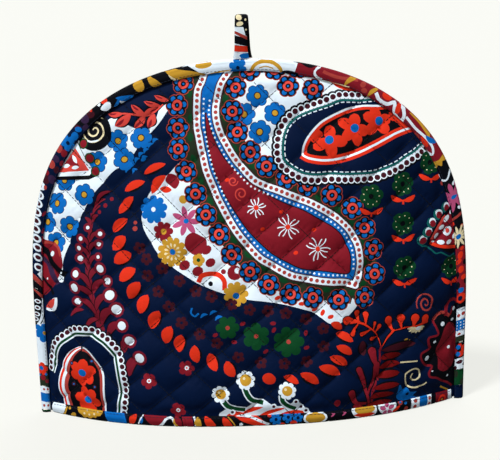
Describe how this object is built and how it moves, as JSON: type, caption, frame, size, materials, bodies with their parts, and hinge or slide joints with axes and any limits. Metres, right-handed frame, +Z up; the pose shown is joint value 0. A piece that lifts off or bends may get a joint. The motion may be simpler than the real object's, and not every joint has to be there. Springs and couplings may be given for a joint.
{
  "type": "tea cosy",
  "caption": "Dome-shaped quilted cotton tea cosy with bound edges and a loop at the top, standing open on its hem.",
  "frame": {"origin": "on the floor, under the middle of the standing cosy", "axes": "+X along the seam to the right, +Y away from the front panel, +Z up"},
  "size_m": [0.3464, 0.1006, 0.3135],
  "materials": {
    "quilted_print": "matt printed cotton, quilted on wadding in diamonds of about one inch",
    "bias_print": "matt printed cotton bias strip, folded and edge-stitched"
  },
  "bodies": {
    "root": {"front_panel": "quilted_print", "back_panel": "quilted_print", "front_hem_binding": "bias_print", "back_hem_binding": "bias_print", "edge_binding": "bias_print", "hanging_loop": "bias_print"}
  },
  "joints": []
}
